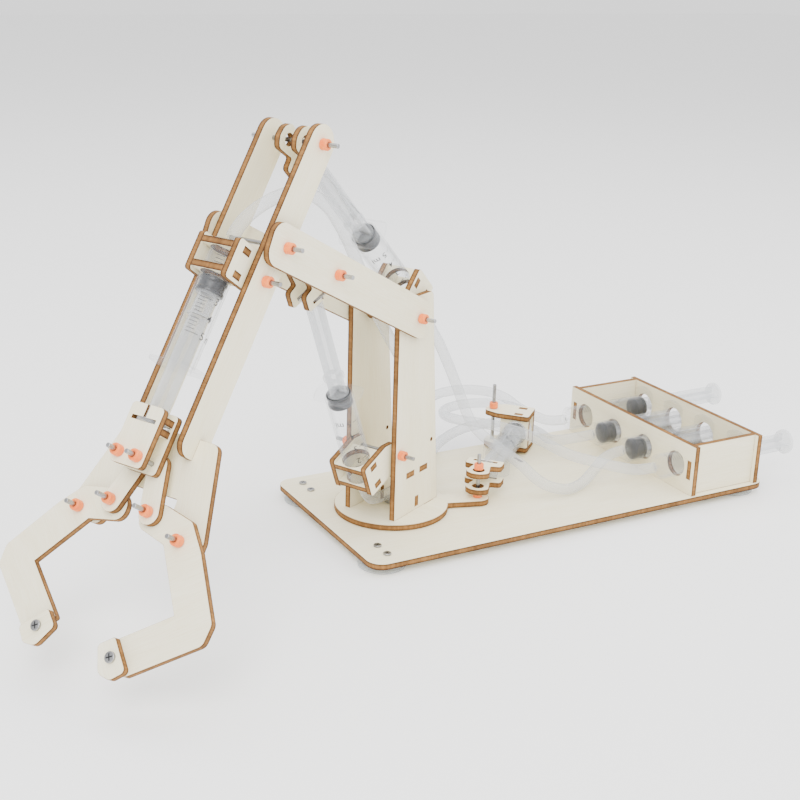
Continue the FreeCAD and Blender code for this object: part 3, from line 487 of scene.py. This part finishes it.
# Each hose: its node, its two syringes, its ways over the board and along the arm, its length in metres.
HOSE_PLAN = [
    ("turn_hose", "control_turn", "steer", TURN_WAY, [], 0.241),
    ("grip_hose", "control_grip", "grip", GRIP_WAY, GRIP_ARM_WAY, 0.396),
    ("lift_hose", "control_lift", "lift", LIFT_WAY, LIFT_ARM_WAY, 0.252),
    ("elbow_hose", "control_elbow", "elbow", ELBOW_WAY, ELBOW_ARM_WAY, 0.213),
]


def make_hose(node, first, last, way, arm_way, length):
    start, end = syringes[first], syringes[last]
    route = [start.point(NOZZLE), start.point(NOZZLE + HOSE_LEAD)]
    route += [at(*point) for point in way] + [at_arm(*point) for point in arm_way]
    route += [end.point(NOZZLE + HOSE_LEAD), end.point(NOZZLE)]
    curve = bpy.data.curves.new(node + "_tube", "CURVE")
    curve.dimensions = "3D"
    spline = curve.splines.new("NURBS")
    spline.points.add(len(route) - 1)
    for control, point in zip(spline.points, route):
        control.co = (*point, 1.0)
    spline.order_u = 3
    spline.use_endpoint_u = True
    spline.resolution_u = 12
    curve.bevel_depth = HOSE_RADIUS * MM
    curve.bevel_resolution = 6
    curve.materials.append(HOSE_CLEAR)
    tube = bpy.data.objects.new(node + "_tube", curve)
    bpy.context.scene.collection.objects.link(tube)
    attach(tube, "base")
    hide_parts(node)


for plan in HOSE_PLAN:
    make_hose(*plan)


# ---- syringe scales: ticks and plain figures printed round the barrel ----
BARREL_RADIUS = 6.9
TICK_LIFT = 0.03
TICK_WIDTH = 0.26
MILLILITRE = 7.65
SCALE_START = 3.0
# Angles round the barrel, in radians, from the side that the scale faces.
TICK_FROM, SHORT_TICK_TO, LONG_TICK_TO, FIGURES_FROM = -0.85, -0.35, 0.0, 0.12


def printed(name, body, syringe, facing):
    """Ticks every fifth of a millilitre, longer at each whole one, with its figure beside it."""
    out = Vector(facing)
    out = (out - syringe.ahead * out.dot(syringe.ahead)).normalized()
    side = syringe.ahead.cross(out)
    radius = (BARREL_RADIUS + TICK_LIFT) * MM
    shape = bmesh.new()

    def on_barrel(along, around):
        return syringe.point(-along) + (out * math.cos(around) + side * math.sin(around)) * radius

    def strip(along, width, low, high):
        steps = 10
        rows = []
        for step in range(steps + 1):
            around = low + (high - low) * step / steps
            ends = [on_barrel(along + edge, around) for edge in (-width / 2, width / 2)]
            rows.append([shape.verts.new(end) for end in ends])
        for before, after in zip(rows, rows[1:]):
            shape.faces.new((before[0], after[0], after[1], before[1]))

    for tick in range(26):
        whole = tick % 5 == 0
        tick_to = LONG_TICK_TO if whole else SHORT_TICK_TO
        strip(SCALE_START + tick * MILLILITRE / 5, TICK_WIDTH, TICK_FROM, tick_to)
    for number in range(1, 6):
        text = bpy.data.curves.new("figure", "FONT")
        text.body = "5 ml" if number == 5 else str(number)
        text.size = 4.6
        text.offset = 0.012
        text.align_y = "CENTER"
        words = bpy.data.objects.new("figure", text)
        outline = bpy.data.meshes.new_from_object(words)
        bpy.data.objects.remove(words)
        letters = bmesh.new()
        letters.from_mesh(outline)
        bmesh.ops.subdivide_edges(letters, edges=letters.edges, cuts=1)
        placed = [
            shape.verts.new(
                on_barrel(
                    SCALE_START + number * MILLILITRE - vert.co.y, FIGURES_FROM + vert.co.x / BARREL_RADIUS
                )
            )
            for vert in letters.verts
        ]
        letters.verts.index_update()
        for face in letters.faces:
            shape.faces.new([placed[vert.index] for vert in face.verts])
        letters.free()
    bmesh.ops.recalc_face_normals(shape, faces=shape.faces)
    mesh = bpy.data.meshes.new(name)
    shape.to_mesh(mesh)
    shape.free()
    new_piece(name, mesh, body, "seal_rubber", INK)


printed("grip_scale", "forearm", syringes["grip"], RISE * 0.5 - ACROSS)
printed("lift_scale", "lift_cylinder", syringes["lift"], -ACROSS - ALONG * 0.4)
printed("elbow_scale", "elbow_cylinder", syringes["elbow"], -ACROSS)
printed("steer_scale", "steer_cylinder", syringes["steer"], UP)
for name in CONTROL_Y:
    printed("control_" + name + "_scale", "base", syringes["control_" + name], UP)


# ---- painted shade in the screws' heads: a dark cross where each recessed cross slot is ----
def cross_slot(name, body, centre, outward, size):
    """A dark cross drawn just over a screw's head: painted shade standing in for its recessed cross slot."""
    out = Vector(outward).normalized()
    first = out.orthogonal().normalized()
    shape = bmesh.new()
    for along, side in ((first, out.cross(first)), (out.cross(first), first)):
        corners = [
            centre + (along * a * size + side * b * size * 0.2) * MM + out * 0.02 * MM
            for a, b in ((-1, -1), (1, -1), (1, 1), (-1, 1))
        ]
        shape.faces.new([shape.verts.new(corner) for corner in corners])
    mesh = bpy.data.meshes.new(name)
    shape.to_mesh(mesh)
    shape.free()
    # The black cross is painted shade of the recessed slot, not a dark part of the screw.
    new_piece(name, mesh, body, "steel", BLACK)


# Two screws hold each foot, on both sides of its middle.
FOOT_X = (-28.0, 194.0)
FOOT_Y = (-43.0, 43.0)
SCREW_STEPS = (-5.0, 5.0)
FOOT_SCREWS = [(x, y + step) for x in FOOT_X for y in FOOT_Y for step in SCREW_STEPS]
FOOT_SCREW_HEAD = 1.0
FOOT_CROSS = 1.3
# The tip screws' heads, from the elbow: ahead, to the side, and up.
TIP_AHEAD = 176.5
TIP_ASIDE = 20.5
TIP_UP = 6.5
TIP_CROSS = 1.5

# Painted shade of each foot screw's cross slot.
for number, (x, y) in enumerate(FOOT_SCREWS):
    centre = at(x, y, BOARD_TOP + FOOT_SCREW_HEAD)
    cross_slot(f"foot_screw_slot_shade_{number}", "base", centre, UP, FOOT_CROSS)
for name, side in (("left", 1), ("right", -1)):
    centre = ELBOW + (REACH * TIP_AHEAD + ACROSS * side * TIP_ASIDE + RISE * TIP_UP) * MM
    cross_slot(name + "_jaw_screw_slot_shade", name + "_jaw_body", centre, RISE, TIP_CROSS)

# ---- stage: pale floor and soft light ----
def make_stage():
    bpy.ops.mesh.primitive_plane_add(size=8.0, location=(0, 0, -0.0002))
    floor = bpy.context.object
    floor.name = "floor"
    m = Nodes("pale_floor")
    m.set(Base_Color=(0.95, 0.95, 0.95, 1), Roughness=0.9)
    floor.data.materials.append(m.material)


def area_light(name, place, target, size, power):
    data = bpy.data.lights.new(name, "AREA")
    data.size = size
    data.energy = power
    light = bpy.data.objects.new(name, data)
    bpy.context.scene.collection.objects.link(light)
    light.location = place
    light.rotation_euler = (Vector(target) - Vector(place)).to_track_quat("-Z", "Y").to_euler()


def make_light():
    world = bpy.data.worlds.new("studio")
    bpy.context.scene.world = world
    world.use_nodes = True
    background = world.node_tree.nodes["Background"]
    background.inputs[0].default_value = (1.0, 1.0, 1.0, 1)
    background.inputs[1].default_value = 1.5
    area_light("key", (-0.7, -0.9, 1.1), (0, 0, 0.08), 0.9, 26.0)
    area_light("fill", (1.0, -0.6, 0.8), (0, 0, 0.08), 1.2, 11.0)
    area_light("top", (0.0, 0.3, 1.4), (0, 0, 0.0), 1.4, 16.0)


make_stage()
make_light()
